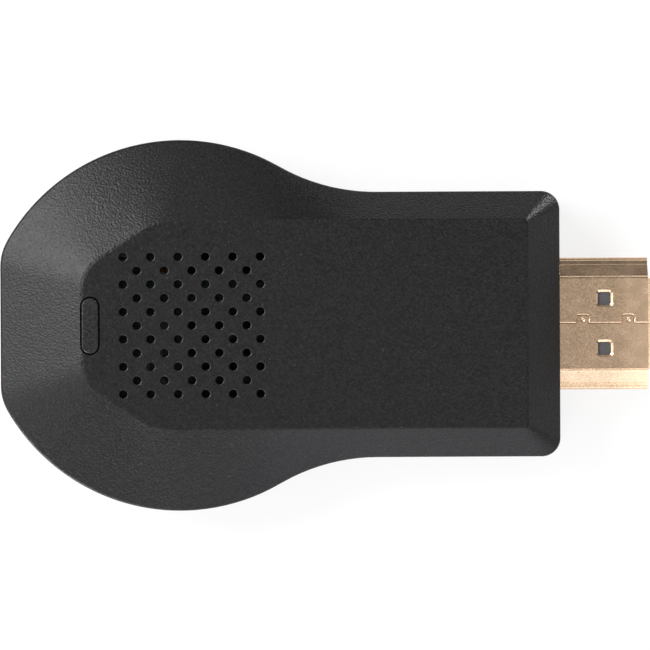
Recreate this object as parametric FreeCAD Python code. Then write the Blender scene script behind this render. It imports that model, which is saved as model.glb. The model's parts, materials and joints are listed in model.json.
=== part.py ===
"""Streaming media player that plugs straight into a television.

A flat black casing in two halves, with a round head and a straight neck, carries a gold-plated video plug
on one end and a small power socket in the flat of the other. The upper half is bevelled: a flat plateau
stands above the rim, with a grid of round vents and one long button at its end. Inside are a circuit board,
its processor with a finned heat sink, memory, flash, a radio module under a shield, power parts and the push
switch under the button.

Each part is built with x = 0 at the socket end of the casing, y = 0 on the centreline and z = 0 on the
underside. save() then moves it so that the origin is at the middle of the whole object's footprint, +X
towards the plug. All sizes are in millimetres.
"""
import FreeCAD
import Part
import math
import os

from FreeCAD import Vector

# ---------------------------------------------------------------- driving dimensions

# Casing in plan
CASE_LENGTH = 58.7
HEAD_HALF_WIDTH = 19.45
BODY_HALF_WIDTH = 13.925
HEAD_RADIUS = 20.9          # each side of the head is one arc, a little flatter than a full circle
HEAD_MIDDLE_X = 18.85
NECK_RADIUS = 20.4
SOCKET_CORNER_RADIUS = 5.6
PLUG_CORNER_RADIUS = 1.95

# Casing in height
CASE_HEIGHT = 12.0
SPLIT_Z = 6.0               # where the two halves meet
RIM_Z = 8.8                 # top of the upright wall, where the bevel starts
WALL = 1.5
FLOOR = 1.4
CEILING = 1.5
RIM_ROUNDING = 0.3
PLATEAU_ROUNDING = (1.4, 0.4)           # at the socket end, and along the sides and the plug end
UNDERSIDE_ROUNDING = 1.6
SPLIT_CHAMFER = 0.14        # the two halves leave a fine groove between them

# Plateau on top of the casing
PLATEAU_START_X = 8.7
PLATEAU_END_X = CASE_LENGTH - 3.55
PLATEAU_HALF_WIDTH = 10.87
PLATEAU_CORNER_ANGLE = math.radians(33.5)
PLATEAU_CORNER_POINT = (12.2, 8.1)      # a point on the slanting side
PLATEAU_CORNER_RADII = (4.0, 7.0)
PLATEAU_PLUG_CORNER = 0.45
BEVEL_STRETCH = 0.85        # how far the bevel's straight lines fan forward along the head

# Inside face of the upper half
INNER_RIM_Z = 7.9
INNER_PLATEAU_INSET = 0.4

# Vents: rows of six and five holes in turn
VENT_RADIUS = 0.435
VENT_PITCH = 2.86
VENT_COLUMNS = 6
VENT_ROWS = 11
VENT_MIDDLE_X = 20.18
VENT_EDGE = (0.09, 0.04)    # how wide and deep each hole's edge is broken

# Button
BUTTON_X = 9.57
BUTTON_LENGTH = 5.84
BUTTON_WIDTH = 1.80
BUTTON_GAP = 0.13
BUTTON_PROUD = 0.06
BUTTON_TRAVEL = 0.25
FLANGE_LENGTH = 7.0
FLANGE_WIDTH = 3.0
FLANGE_Z = (9.85, 10.45)
FLANGE_ROOM = 0.35

# Tongue, groove and snaps between the halves
TONGUE_INSET = 0.9
TONGUE_DEPTH = 0.9
FIT_GAP = 0.1
SNAP_X = (18.85, 43.5, 50.5)
SNAP_WIDTH = 3.6
SNAP_THICKNESS = 1.0
SNAP_GAP = 0.15
SNAP_Z = (2.9, 7.6)
SNAP_BUMP = 0.5

# Circuit board
BOARD_INSET = 2.9
BOARD_THICKNESS = 1.0
BOARD_Z = SPLIT_Z - BOARD_THICKNESS / 2
BOARD_TOP = BOARD_Z + BOARD_THICKNESS
BOARD_TAB_X = 1.9
BOARD_TAB_HALF_WIDTH = 5.6
BOARD_END_X = 52.3
SCREW_SPOTS = ((12.5, -11.5), (47.9, -8.7))
PIN_SPOTS = ((12.5, 11.5), (47.9, 8.7))
SCREW_RADIUS = 0.8
SCREW_HEAD_RADIUS = 1.4
SCREW_HEAD_HEIGHT = 0.9
SCREW_LENGTH = 4.0
SCREW_THREAD_PITCH = 0.5
LOCATING_PIN_RADIUS = 0.6

# Video plug, 13.9 by 4.45 mm outside, with its narrow side up
PLUG_WIDTH = 13.9
PLUG_HEIGHT = 4.45
PLUG_REACH = 10.2           # how far it stands out of the casing
PLUG_LIP = 0.9              # its front edges are drawn in over this length
PLUG_LIP_IN = 0.35
PLUG_SHEET = 0.3
PLUG_REAR_X = 52.6
PLUG_CASE_GAP = 0.1
PLUG_LIP_HALF_WIDTH = 4.75
PLUG_SHOULDER_Y = 6.24      # where the shoulder meets the slope up to the narrow side
PLUG_SHOULDER_TILT = 8      # degrees
PLUG_SLOPE_TILT = 42        # degrees
PLUG_FLAT_HALF_WIDTH = 4.72
LATCH_HOLE = 1.36
LATCH_HOLE_X = CASE_LENGTH + 4.7
LATCH_HOLE_Y = 2.62
LATCH_HOLE_BEVEL = (0.24, 0.14)         # across the sheet, and down
SEAM_GAP = 0.03
SEAM_BEVEL = (0.13, 0.08)
DOVETAIL_X = (CASE_LENGTH + 2.41, CASE_LENGTH + 7.19)
DOVETAIL_TOP = 1.35
DOVETAIL_HEIGHT = 0.86
DOVETAIL_LEAN = 11.5        # degrees
DOVETAIL_RADII = (0.2, 0.28)  # at the root and at the top
PLUG_SLOT_WIDTH = 10.6
PLUG_SLOT_HEIGHT = 1.9
PLUG_SLOT_DEPTH = 7.4
PLUG_CONTACT_PITCH = 1.0
PLUG_CONTACT_WIDTH = 0.36
PLUG_CONTACT_SHEET = 0.15

# Power socket, on the underside of the board
SOCKET_FRONT_X = 0.4
SOCKET_DEPTH = 5.1
SOCKET_HALF_WIDTH = 3.75
SOCKET_HEIGHT = 2.5
SOCKET_SHEET = 0.25
SOCKET_FLARE = 0.3
SOCKET_NOTCH_HALF_WIDTH = 4.35
SOCKET_NOTCH_Z = 2.55
SOCKET_CONTACT_PITCH = 0.65

# Push switch under the button
SWITCH_LENGTH = 6.0
SWITCH_WIDTH = 3.4
SWITCH_BASE_HEIGHT = 1.2
SWITCH_WELL_RADIUS = 1.4
SWITCH_WELL_FLOOR = BOARD_TOP + 0.4
SWITCH_DOME_HEIGHT = 0.4
SWITCH_DOME_SHEET = 0.06
SWITCH_FRAME_SHEET = 0.15
PLUNGER_RADIUS = 0.9
PLUNGER_TOP = 9.0

# Processor, pad and heat sink
SOC_X, SOC_Y = 25.0, -4.5
SOC_SIDE = 12.0
SOC_HEIGHT = 1.1
PAD_HEIGHT = 0.3
SINK_BASE = 0.6
SINK_FIN_HEIGHT = 1.6
SINK_FIN_COUNT = 6
SINK_FIN_THICKNESS = 0.8

# Radio module: a small board under a shield
RADIO_X, RADIO_Y = 40.6, 3.4
RADIO_SIDE = 12.0
RADIO_BOARD = 0.8

# Under the board: x, y, side and height of each inductor, x and y of each regulator
INDUCTORS = ((17.0, -8.0, 4.0, 1.9), (17.0, 8.0, 4.0, 1.9), (38.0, 0.0, 3.0, 1.4))
REGULATORS = ((22.6, -8.0), (22.6, 8.0))

# Floor of the lower half
FLOOR_SLOT_COUNT = 6
FLOOR_SLOT_SIZE = (1.1, 11.0)
FLOOR_SLOT_PITCH = 2.6
PANEL_RECESS = (36.0, 54.0, 9.2, 0.25)  # x from, x to, half width, depth

OVERALL_LENGTH = CASE_LENGTH + PLUG_REACH


# ---------------------------------------------------------------- small helpers

def save(name, *solids):
    """Writes one node, moved into the object's own frame."""
    shape = solids[0].copy() if len(solids) == 1 else Part.makeCompound(list(solids))
    shape.translate(Vector(-OVERALL_LENGTH / 2, 0, 0))
    shape.exportStep(os.path.join("parts", name + ".step"))
    print(f"{name:24s} {len(shape.Solids):3d} solid(s) {shape.Volume:9.2f} mm3 valid {shape.isValid()}")


def block(x0, x1, y0, y1, z0, z1):
    return Part.makeBox(x1 - x0, y1 - y0, z1 - z0, Vector(x0, y0, z0))


def centred_block(x, y, length, width, z0, z1):
    return block(x - length / 2, x + length / 2, y - width / 2, y + width / 2, z0, z1)


def rounded_block(x, y, length, width, z0, z1, radius):
    solid = centred_block(x, y, length, width, z0, z1)
    upright = [e for e in solid.Edges if abs(e.tangentAt(e.FirstParameter).z) > 0.99]
    return solid.makeFillet(radius, upright)


def post(x, y, z0, z1, radius):
    return Part.makeCylinder(radius, z1 - z0, Vector(x, y, z0))


def edges_at_height(solid, z):
    return [e for e in solid.Edges if abs(e.BoundBox.ZMin - z) < 1e-4 and abs(e.BoundBox.ZMax - z) < 1e-4]


def line(a, b):
    return Part.LineSegment(Vector(a[0], a[1], 0), Vector(b[0], b[1], 0)).toShape()


def arc(centre, radius, start, end):
    """Arc between two polar angles about centre, in the plan."""
    def at(angle):
        return Vector(centre[0] + radius * math.cos(angle), centre[1] + radius * math.sin(angle), 0)
    return Part.Arc(at(start), at((start + end) / 2), at(end)).toShape()


def turtle(start, heading, moves):
    """Tangent lines and arcs from a start point.

    A move is ("line", length) or ("arc", radius, turn), with the turn in degrees, positive to the left.
    """
    x, y = start
    edges = []
    for move in moves:
        if move[0] == "line":
            end = (x + move[1] * math.cos(heading), y + move[1] * math.sin(heading))
            edges.append(line((x, y), end))
        else:
            radius, turn = move[1], math.radians(move[2])
            side = math.copysign(math.pi / 2, turn)
            centre = (x + radius * math.cos(heading + side), y + radius * math.sin(heading + side))
            first, last = heading - side, heading - side + turn
            edges.append(arc(centre, radius, first, last))
            heading += turn
            end = (centre[0] + radius * math.cos(last), centre[1] + radius * math.sin(last))
        x, y = end
    return edges


def mirrored(edge):
    return edge.mirror(Vector(0, 0, 0), Vector(0, 1, 0))


def symmetric_wire(half_edges, z=0.0):
    """Closed wire from edges that run from the centreline to the centreline on the +Y side."""
    edges = half_edges + [mirrored(e) for e in reversed(half_edges)]
    wire = Part.Wire(Part.__sortEdges__(edges))
    wire.translate(Vector(0, 0, z))
    return wire


# ---------------------------------------------------------------- outlines of the casing

def case_half(inset):
    """The casing's plan on the +Y side, moved inward by inset: its arcs and lines by name."""
    head = (HEAD_MIDDLE_X, HEAD_HALF_WIDTH - HEAD_RADIUS)
    neck_y = BODY_HALF_WIDTH + NECK_RADIUS
    neck_x = head[0] + math.sqrt((HEAD_RADIUS + NECK_RADIUS) ** 2 - (neck_y - head[1]) ** 2)
    radius = HEAD_RADIUS - inset
    corner_radius = SOCKET_CORNER_RADIUS - inset
    plug_radius = max(PLUG_CORNER_RADIUS - inset, 0.3)
    corner_x = inset + corner_radius
    corner_y = head[1] + math.sqrt((radius - corner_radius) ** 2 - (corner_x - head[0]) ** 2)
    corner_angle = math.atan2(corner_y - head[1], corner_x - head[0])
    neck_angle = math.atan2(neck_y - head[1], neck_x - head[0])
    side_y = BODY_HALF_WIDTH - inset
    end_x = CASE_LENGTH - inset
    return {
        "flat": line((inset, 0), (inset, corner_y)),
        "corner": arc((corner_x, corner_y), corner_radius, math.pi, corner_angle),
        "head_rear": arc(head, radius, corner_angle, math.pi / 2),
        "head_front": arc(head, radius, math.pi / 2, neck_angle),
        "neck": arc((neck_x, neck_y), NECK_RADIUS + inset, math.pi + neck_angle, 1.5 * math.pi),
        "side": line((neck_x, side_y), (end_x - plug_radius, side_y)),
        "plug_corner": arc((end_x - plug_radius, side_y - plug_radius), plug_radius, math.pi / 2, 0),
        "end": line((end_x, side_y - plug_radius), (end_x, 0)),
    }


def case_face(inset, z):
    """Flat face bounded by the casing's true outline, moved inward by inset."""
    return Part.Face(symmetric_wire(list(case_half(inset).values()), z))


def case_prism(inset, z0, z1):
    return case_face(inset, z0).extrude(Vector(0, 0, z1 - z0))


def smooth_edge(edges, points, start, end, stretch=0.0):
    """One smooth curve through a chain of tangent edges, so that two outlines can be joined line for line.

    Its parameter runs as the length along the chain, pulled forward by stretch in the middle.
    """
    chain = Part.Wire(edges)
    steps = 400
    fine = chain.discretize(Number=steps + 1)
    if fine[0].distanceToPoint(start["at"]) > fine[-1].distanceToPoint(start["at"]):
        fine.reverse()
    parameters = [i / (points - 1) for i in range(points)]
    shares = [t + stretch * t * t * (1 - t) for t in parameters]
    curve = Part.BSplineCurve()
    curve.interpolate(
        Points=[fine[round(share * steps)] for share in shares],
        Parameters=parameters,
        InitialTangent=start["way"] * chain.Length,
        FinalTangent=end["way"] * chain.Length * (1 - stretch),
        Scale=False,
    )
    return curve.toShape()


def rim_wire(inset, z):
    """The casing's outline as ten edges, each facing one edge of plateau_wire."""
    half = case_half(inset)
    ahead, across = Vector(1, 0, 0), Vector(0, 1, 0)
    rear_start = half["corner"].Vertexes[0].Point
    front_start = Vector(HEAD_MIDDLE_X, HEAD_HALF_WIDTH - inset, 0)
    rear = smooth_edge([half["corner"], half["head_rear"]], 15,
                       {"at": rear_start, "way": across}, {"way": ahead}, BEVEL_STRETCH)
    front = smooth_edge([half["head_front"], half["neck"]], 13,
                        {"at": front_start, "way": ahead}, {"way": ahead})
    flat_y, end_y = half["flat"].BoundBox.YMax, half["end"].BoundBox.YMax
    uppers = [rear, front, half["side"], half["plug_corner"]]
    end_x = CASE_LENGTH - inset
    edges = [line((inset, -flat_y), (inset, flat_y)), *uppers, line((end_x, end_y), (end_x, -end_y)),
             *[mirrored(e) for e in reversed(uppers)]]
    wire = Part.Wire(Part.__sortEdges__(edges))
    wire.translate(Vector(0, 0, z))
    return wire


def plateau_wire(inset, z):
    """The plateau's outline as ten edges: a long rectangle, its corners at the socket end cut on a slant."""
    angle = PLATEAU_CORNER_ANGLE
    x0, x1, y1 = PLATEAU_START_X + inset, PLATEAU_END_X - inset, PLATEAU_HALF_WIDTH - inset
    slant_x = PLATEAU_CORNER_POINT[0] + inset * math.sin(angle)
    slant_y = PLATEAU_CORNER_POINT[1] - inset * math.cos(angle)
    near_radius, far_radius = PLATEAU_CORNER_RADII
    near_y = slant_y - (slant_x - x0) * math.tan(angle)
    far_x = slant_x + (y1 - slant_y) / math.tan(angle)
    near_turn = math.pi / 2 - angle
    near = near_radius * math.tan(near_turn / 2)
    far = far_radius * math.tan(angle / 2)
    slant = math.hypot(far_x - x0, y1 - near_y) - near - far
    corner = turtle((x0, near_y - near), math.pi / 2, [
        ("arc", near_radius, -math.degrees(near_turn)),
        ("line", slant),
        ("arc", far_radius, -math.degrees(angle)),
    ])
    ahead, across = Vector(1, 0, 0), Vector(0, 1, 0)
    rear = smooth_edge(corner, 15, {"at": Vector(x0, near_y - near, 0), "way": across}, {"way": ahead})
    side_start = case_half(0)["side"].BoundBox.XMin
    cut = PLATEAU_PLUG_CORNER
    uppers = [
        rear,
        line((far_x + far, y1), (side_start, y1)),
        line((side_start, y1), (x1 - cut, y1)),
        arc((x1 - cut, y1 - cut), cut, math.pi / 2, 0),
    ]
    edges = [line((x0, near - near_y), (x0, near_y - near)), *uppers, line((x1, y1 - cut), (x1, cut - y1)),
             *[mirrored(e) for e in reversed(uppers)]]
    wire = Part.Wire(Part.__sortEdges__(edges))
    wire.translate(Vector(0, 0, z))
    return wire


# ---------------------------------------------------------------- shapes shared by several parts

def plug_outline(inset):
    """The video plug's section in y and z about its own axis: wide below, stepped in to a narrow top."""
    low, high = -PLUG_HEIGHT / 2, PLUG_HEIGHT / 2
    foot_radius, shoulder_radius, inner_radius, top_radius = 0.8, 0.45, 0.15, 0.6
    shoulder, slope = math.radians(PLUG_SHOULDER_TILT), math.radians(PLUG_SLOPE_TILT)
    slope_top_y = PLUG_FLAT_HALF_WIDTH + top_radius * math.sin(slope)
    slope_top_z = high - top_radius * (1 - math.cos(slope))
    slope_low_y = PLUG_SHOULDER_Y - inner_radius * (math.sin(slope) - math.sin(shoulder))
    slope_low_z = slope_top_z - (slope_low_y - slope_top_y) * math.tan(slope)
    shoulder_z = slope_low_z - inner_radius * (math.cos(shoulder) - math.cos(slope))
    arc_y = PLUG_WIDTH / 2 - shoulder_radius * (1 - math.sin(shoulder))
    arc_z = shoulder_z - (arc_y - PLUG_SHOULDER_Y) * math.tan(shoulder)
    wall_top = arc_z - shoulder_radius * math.cos(shoulder)
    half = turtle((0, low), 0, [
        ("line", PLUG_WIDTH / 2 - foot_radius),
        ("arc", foot_radius, 90),
        ("line", wall_top - low - foot_radius),
        ("arc", shoulder_radius, 90 - PLUG_SHOULDER_TILT),
        ("line", (arc_y - PLUG_SHOULDER_Y) / math.cos(shoulder)),
        ("arc", inner_radius, PLUG_SHOULDER_TILT - PLUG_SLOPE_TILT),
        ("line", (slope_low_y - slope_top_y) / math.cos(slope)),
        ("arc", top_radius, PLUG_SLOPE_TILT),
        ("line", PLUG_FLAT_HALF_WIDTH),
    ])
    wire = Part.Wire(Part.__sortEdges__(half + [e.mirror(Vector(0, 0, 0), Vector(1, 0, 0)) for e in half]))
    return wire.makeOffset2D(-inset) if inset else wire


def upright(wire, x):
    """Stands a wire drawn in the plan up into the y-z plane at x, on the video plug's axis."""
    turned = wire.copy()
    turned.rotate(Vector(0, 0, 0), Vector(1, 1, 1), 120)
    turned.translate(Vector(x, 0, SPLIT_Z))
    return turned


def plug_core(inset, x0, x1):
    """Solid with the plug's section, moved inward by inset."""
    return Part.Face(upright(plug_outline(inset), x0)).extrude(Vector(x1 - x0, 0, 0))


def plug_lips():
    """The two lips at the plug's mouth, where its broad walls run on and bend inward."""
    start, end = CASE_LENGTH + PLUG_REACH - PLUG_LIP, CASE_LENGTH + PLUG_REACH
    lips = []
    half = PLUG_LIP_HALF_WIDTH
    for side in (1, -1):
        outer = SPLIT_Z + side * PLUG_HEIGHT / 2
        drop = side * PLUG_LIP_IN
        sheet = side * PLUG_SHEET
        points = [(start, outer), (start + PLUG_LIP * 0.45, outer - drop * 0.2), (end, outer - drop),
                  (end, outer - drop - sheet), (start + PLUG_LIP * 0.4, outer - drop * 0.2 - sheet),
                  (start, outer - sheet), (start, outer)]
        profile = Part.makePolygon([Vector(x, -half, z) for x, z in points])
        lip = Part.Face(profile).extrude(Vector(0, 2 * half, 0))
        corners = [e for e in lip.Edges if abs(e.BoundBox.XMin - end) < 1e-6 and e.BoundBox.YLength < 1e-6]
        lips.append(lip.makeFillet(0.3, corners))
    return lips


def vent_spots():
    """Middles of the vent holes: rows of six with rows of five between them."""
    spots = []
    for row in range(VENT_ROWS):
        count = VENT_COLUMNS - row % 2
        y = (row - (VENT_ROWS - 1) / 2) * VENT_PITCH / 2
        spots += [(VENT_MIDDLE_X + (i - (count - 1) / 2) * VENT_PITCH, y) for i in range(count)]
    return spots


def snap_places():
    """(x, side, y of the inner wall) of each snap between the halves."""
    places = []
    for x in SNAP_X:
        outer = HEAD_HALF_WIDTH if x == HEAD_MIDDLE_X else BODY_HALF_WIDTH
        places += [(x, side, outer - WALL) for side in (-1, 1)]
    return places


def side_block(x, side, y0, y1, width, z0, z1):
    low, high = sorted((side * y0, side * y1))
    return block(x - width / 2, x + width / 2, low, high, z0, z1)


# ---------------------------------------------------------------- casing

def cover_form():
    """The upper half's outside, solid, with its rounded rim and plateau edge."""
    walls = Part.Face(rim_wire(0, SPLIT_Z)).extrude(Vector(0, 0, RIM_Z - SPLIT_Z))
    bevel = Part.makeLoft([rim_wire(0, RIM_Z), plateau_wire(0, CASE_HEIGHT)], True, True)
    form = soften_plateau(walls.fuse(bevel).Solids[0])
    form = form.makeFillet(RIM_ROUNDING, edges_at_height(form, RIM_Z))
    return form.makeChamfer(SPLIT_CHAMFER, edges_at_height(form, SPLIT_Z))


def soften_plateau(form):
    """Rounds the plateau's edge: broadly at the socket end, then ever tighter round the slanting corners."""
    broad, tight = PLATEAU_ROUNDING
    document = FreeCAD.newDocument()
    base = document.addObject("Part::Feature", "form")
    base.Shape = form.copy()
    fillet = document.addObject("Part::Fillet", "softened")
    fillet.Base = base
    choices = []
    for number, edge in enumerate(form.Edges, 1):
        box = edge.BoundBox
        if abs(box.ZMin - CASE_HEIGHT) > 1e-4 or abs(box.ZMax - CASE_HEIGHT) > 1e-4:
            continue
        ends = edge.valueAt(edge.FirstParameter), edge.valueAt(edge.LastParameter)
        choices.append((number, *[broad if abs(end.x - PLATEAU_START_X) < 1e-3 else tight for end in ends]))
    fillet.Edges = choices
    document.recompute()
    softened = fillet.Shape.copy()
    FreeCAD.closeDocument(document.Name)
    return softened.Solids[0]


def cover_hollow():
    ceiling = CASE_HEIGHT - CEILING
    foot = SPLIT_Z - TONGUE_DEPTH - 1
    wires = [rim_wire(WALL, foot), rim_wire(WALL, INNER_RIM_Z), plateau_wire(INNER_PLATEAU_INSET, ceiling)]
    return Part.makeLoft(wires, True, True)


def vents():
    """The vent holes, each opened out a little at the top."""
    ceiling = CASE_HEIGHT - CEILING
    width, depth = VENT_EDGE
    tools = []
    for x, y in vent_spots():
        tools.append(post(x, y, ceiling - 0.5, CASE_HEIGHT + 0.5, VENT_RADIUS))
        low = Vector(x, y, CASE_HEIGHT - depth)
        tools.append(Part.makeCone(VENT_RADIUS, VENT_RADIUS + width, depth, low))
    return tools


def snap_hook(x, side, wall_y):
    """A springy leg of the upper half with a bump near its foot."""
    outer = wall_y - SNAP_GAP
    leg = side_block(x, side, outer - SNAP_THICKNESS, outer, SNAP_WIDTH, *SNAP_Z)
    root = side_block(x, side, outer - SNAP_THICKNESS, wall_y + 0.3, SNAP_WIDTH, SPLIT_Z + 0.4, SNAP_Z[1])
    low = SNAP_Z[0] + 0.15
    profile = Part.makePolygon([
        Vector(x - SNAP_WIDTH / 2, side * outer, low),
        Vector(x - SNAP_WIDTH / 2, side * (outer + SNAP_BUMP), low + 0.55),
        Vector(x - SNAP_WIDTH / 2, side * (outer + SNAP_BUMP), low + 0.7),
        Vector(x - SNAP_WIDTH / 2, side * outer, low + 0.95),
        Vector(x - SNAP_WIDTH / 2, side * outer, low),
    ])
    bump = Part.Face(profile).extrude(Vector(SNAP_WIDTH, 0, 0))
    return [leg, root, bump]


def button_slot(z0, z1, grow):
    """Round-ended slot or button outline, grown all round."""
    width = BUTTON_WIDTH + 2 * grow
    return rounded_block(BUTTON_X, 0, width, BUTTON_LENGTH + 2 * grow, z0, z1, width / 2 - 1e-4)


def top_cover():
    ceiling = CASE_HEIGHT - CEILING
    tongue = case_prism(TONGUE_INSET, SPLIT_Z - TONGUE_DEPTH, SPLIT_Z + 0.2)
    cover = cover_form().fuse(tongue).cut(cover_hollow())
    cover = cover.cut([block(50, 60, -8.2, 8.2, 0, SPLIT_Z), block(-1, 6, -5.4, 5.4, 0, SPLIT_Z)])
    hooks = [piece for place in snap_places() for piece in snap_hook(*place)]
    hold_downs = [post(x, y, BOARD_TOP + FIT_GAP, ceiling + 0.3, 1.0) for x, y in ((33.5, -9.3), (32.4, 7.3))]
    rib = block(53.6, 54.6, -12.0, 12.0, SPLIT_Z + 0.6, ceiling)
    lintel_half = SOCKET_NOTCH_HALF_WIDTH - FIT_GAP
    lintel = block(SPLIT_CHAMFER, WALL, -lintel_half, lintel_half, BOARD_Z + 0.15, SPLIT_Z + 0.3)
    cover = cover.fuse([*hooks, *hold_downs, rib, lintel])
    tools = [
        plug_core(-PLUG_CASE_GAP, PLUG_REAR_X, CASE_LENGTH + 1),
        button_slot(ceiling - 3, CASE_HEIGHT + 1, BUTTON_GAP),
        rounded_block(BUTTON_X, 0, FLANGE_WIDTH + 2 * FLANGE_ROOM, FLANGE_LENGTH + 2 * FLANGE_ROOM,
                      FLANGE_Z[0] - 1.2, ceiling, 0.6),
        *vents(),
    ]
    return cover.cut(tools).removeSplitter().Solids[0]


def bottom_cover():
    form = Part.Face(rim_wire(0, 0)).extrude(Vector(0, 0, SPLIT_Z))
    form = form.makeFillet(UNDERSIDE_ROUNDING, edges_at_height(form, 0))
    form = form.makeChamfer(SPLIT_CHAMFER, edges_at_height(form, SPLIT_Z))
    hollow = case_prism(WALL, FLOOR, SPLIT_Z + 1)
    groove = case_prism(TONGUE_INSET - FIT_GAP, SPLIT_Z - TONGUE_DEPTH - FIT_GAP, SPLIT_Z + 1)
    cover = form.cut([hollow, groove])

    supports = []
    for x, y in SCREW_SPOTS:
        supports.append(post(x, y, FLOOR - 0.2, BOARD_Z, 1.9))
    for x, y in PIN_SPOTS:
        supports.append(post(x, y, FLOOR - 0.2, BOARD_Z, 1.5))
        supports.append(post(x, y, FLOOR - 0.2, BOARD_TOP + 0.5, LOCATING_PIN_RADIUS))
    for x, y, length, width in ((33.2, 9.6, 4.0, 0.9), (33.2, -9.6, 4.0, 0.9), (6.3, 0, 0.9, 8.0)):
        top = BOARD_Z if abs(y) > 1 else BOARD_Z - 1.0
        supports.append(centred_block(x, y, length, width, FLOOR - 0.2, top))
    supports.append(block(53.6, 54.6, -12.6, 12.6, FLOOR - 0.2, SPLIT_Z - TONGUE_DEPTH - FIT_GAP))
    cover = cover.fuse(supports)

    tools = [
        plug_core(-PLUG_CASE_GAP, PLUG_REAR_X, CASE_LENGTH + 1),
        rounded_notch(),
        panel_recess(),
    ]
    tools += [post(x, y, FLOOR + 0.9, BOARD_Z + 1, SCREW_RADIUS + 0.02) for x, y in SCREW_SPOTS]
    slot_width, slot_length = FLOOR_SLOT_SIZE
    for i in range(FLOOR_SLOT_COUNT):
        x = SOC_X + (i - (FLOOR_SLOT_COUNT - 1) / 2) * FLOOR_SLOT_PITCH
        tools.append(rounded_block(x, 0, slot_width, slot_length, -1, FLOOR + 0.1, slot_width / 2 - 1e-4))
    for x, side, wall_y in snap_places():
        tools.append(side_block(x, side, wall_y - 0.3, wall_y + SNAP_BUMP + 0.1, SNAP_WIDTH + 0.4,
                                SNAP_Z[0] - 0.05, SNAP_Z[0] + 1.35))
    return cover.cut(tools).removeSplitter().Solids[0]


def rounded_notch():
    """The power socket's opening in the end wall of the lower half, open at the top."""
    notch = block(-1, 2.2, -SOCKET_NOTCH_HALF_WIDTH, SOCKET_NOTCH_HALF_WIDTH, SOCKET_NOTCH_Z, SPLIT_Z + 1)
    low = [e for e in edges_at_height(notch, SOCKET_NOTCH_Z) if abs(e.tangentAt(e.FirstParameter).x) > 0.99]
    return notch.makeFillet(0.9, low)


def panel_recess():
    x0, x1, half, depth = PANEL_RECESS
    return rounded_block((x0 + x1) / 2, 0, x1 - x0, 2 * half, -1, depth, 1.5)


def mode_button():
    cap = button_slot(FLANGE_Z[0], CASE_HEIGHT + BUTTON_PROUD, 0)
    cap = cap.makeFillet(0.22, edges_at_height(cap, CASE_HEIGHT + BUTTON_PROUD))
    flange = rounded_block(BUTTON_X, 0, FLANGE_WIDTH, FLANGE_LENGTH, *FLANGE_Z, 0.5)
    stem = rounded_block(BUTTON_X, 0, 1.5, 2.2, PLUNGER_TOP + 0.01, FLANGE_Z[0] + 0.1, 0.3)
    return cap.fuse([flange, stem]).removeSplitter().Solids[0]


# ---------------------------------------------------------------- board and fasteners

def main_board():
    face = case_face(BOARD_INSET, BOARD_Z)
    board = face.extrude(Vector(0, 0, BOARD_THICKNESS))
    board = board.cut(block(BOARD_END_X, CASE_LENGTH, -20, 20, 0, CASE_HEIGHT))
    tab = block(BOARD_TAB_X, 5.0, -BOARD_TAB_HALF_WIDTH, BOARD_TAB_HALF_WIDTH, BOARD_Z, BOARD_TOP)
    board = board.fuse(tab).removeSplitter()
    tools = [post(x, y, 0, CASE_HEIGHT, SCREW_RADIUS + 0.15) for x, y in SCREW_SPOTS]
    tools += [post(x, y, 0, CASE_HEIGHT, LOCATING_PIN_RADIUS + 0.08) for x, y in PIN_SPOTS]
    for side in (-1, 1):
        low, high = sorted((side * (PLUG_WIDTH / 2 - PLUG_SHEET - 0.1), side * (PLUG_WIDTH / 2 + 0.1)))
        tools.append(block(49.0, BOARD_END_X + 1, low, high, 0, CASE_HEIGHT))
    return board.cut(tools).removeSplitter().Solids[0]


def board_screw(x, y):
    """Pan-head self-tapping screw: its thread is drawn as rings."""
    foot = BOARD_TOP - SCREW_LENGTH
    root = SCREW_RADIUS - 0.16
    points = [Vector(0, 0, foot), Vector(0.25, 0, foot), Vector(root, 0, foot + 0.5)]
    z = foot + 0.5
    while z + SCREW_THREAD_PITCH < BOARD_TOP - 0.2:
        points += [Vector(SCREW_RADIUS, 0, z + SCREW_THREAD_PITCH * 0.4),
                   Vector(SCREW_RADIUS, 0, z + SCREW_THREAD_PITCH * 0.55),
                   Vector(root, 0, z + SCREW_THREAD_PITCH)]
        z += SCREW_THREAD_PITCH
    top = BOARD_TOP + SCREW_HEAD_HEIGHT
    points += [Vector(root, 0, BOARD_TOP), Vector(SCREW_HEAD_RADIUS, 0, BOARD_TOP),
               Vector(SCREW_HEAD_RADIUS, 0, top - 0.35), Vector(SCREW_HEAD_RADIUS - 0.35, 0, top),
               Vector(0, 0, top), Vector(0, 0, foot)]
    screw = Part.Face(Part.makePolygon(points)).revolve(Vector(0, 0, 0), Vector(0, 0, 1), 360)
    screw = Part.Solid(screw) if screw.ShapeType == "Shell" else screw
    arms = [centred_block(0, 0, length, width, top - 0.5, top + 1)
            for length, width in ((1.5, 0.32), (0.32, 1.5))]
    screw = screw.cut(arms)
    screw.translate(Vector(x, y, 0))
    return screw.Solids[0]


# ---------------------------------------------------------------- video plug

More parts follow.
